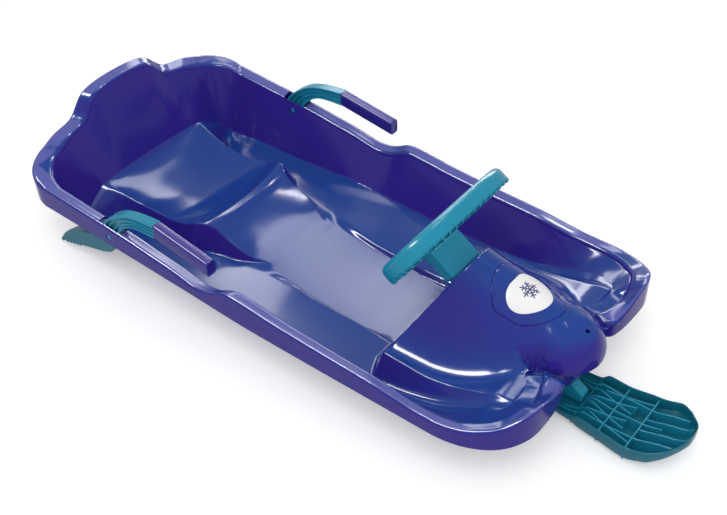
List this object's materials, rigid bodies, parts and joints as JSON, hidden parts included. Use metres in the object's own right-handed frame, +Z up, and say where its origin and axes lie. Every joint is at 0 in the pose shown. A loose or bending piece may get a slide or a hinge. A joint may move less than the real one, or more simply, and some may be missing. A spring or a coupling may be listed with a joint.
{
  "type": "steerable snow bob",
  "caption": "Moulded plastic sled tub with a seat, a flattened hand wheel on a sloping shaft that turns a short front ski, and a gripped brake lever with a toothed claw at each side.",
  "frame": {"origin": "on the ground below the middle of the whole length, in the plane of symmetry", "axes": "+Z up, the nose and the ski point to -Y, +X is across the sled and the two sides mirror each other over the YZ plane"},
  "size_m": [0.516, 1.22, 0.3008],
  "materials": {
    "tub_plastic": "glossy moulded indigo",
    "grip_plastic": "soft sheen moulded blue violet",
    "teal_plastic": "soft sheen moulded teal",
    "badge_film": "smooth white film",
    "bush_plastic": "natural bearing plastic",
    "zinc_steel": "zinc plated"
  },
  "bodies": {
    "tub_body": {"tub": "tub_plastic", "hatch_cover": "tub_plastic", "hatch_badge": "badge_film", "bush_upper": "bush_plastic", "bush_lower": "bush_plastic", "brake_pin_left": "teal_plastic", "brake_pin_right": "teal_plastic", "brake_clip_left": "zinc_steel", "brake_clip_right": "zinc_steel"},
    "steering_body": {"steering_wheel": "teal_plastic", "column_sleeve": "teal_plastic", "steering_shaft": "zinc_steel", "shaft_collar": "zinc_steel", "sleeve_pin": "zinc_steel", "mount_pin": "zinc_steel", "wheel_screw": "zinc_steel", "ski_mount": "teal_plastic", "front_ski": "teal_plastic", "ski_screw_front": "zinc_steel", "ski_screw_rear": "zinc_steel"},
    "brake_left_body": {"brake_lever_left": "teal_plastic", "brake_grip_left": "grip_plastic"},
    "brake_right_body": {"brake_lever_right": "teal_plastic", "brake_grip_right": "grip_plastic"}
  },
  "joints": [
    {"name": "steering", "type": "hinge", "parent": "tub_body", "child": "steering_body", "pos_m": [0, -0.1805, 0.178], "axis": [0, -0.8387, -0.5446], "range_deg": [-25, 25]},
    {"name": "brake_left", "type": "hinge", "parent": "tub_body", "child": "brake_left_body", "pos_m": [0.2385, 0.357, 0.11], "axis": [-1, 0, 0], "range_deg": [0, 15]},
    {"name": "brake_right", "type": "hinge", "parent": "tub_body", "child": "brake_right_body", "pos_m": [-0.2385, 0.357, 0.11], "axis": [-1, 0, 0], "range_deg": [0, 15]}
  ]
}
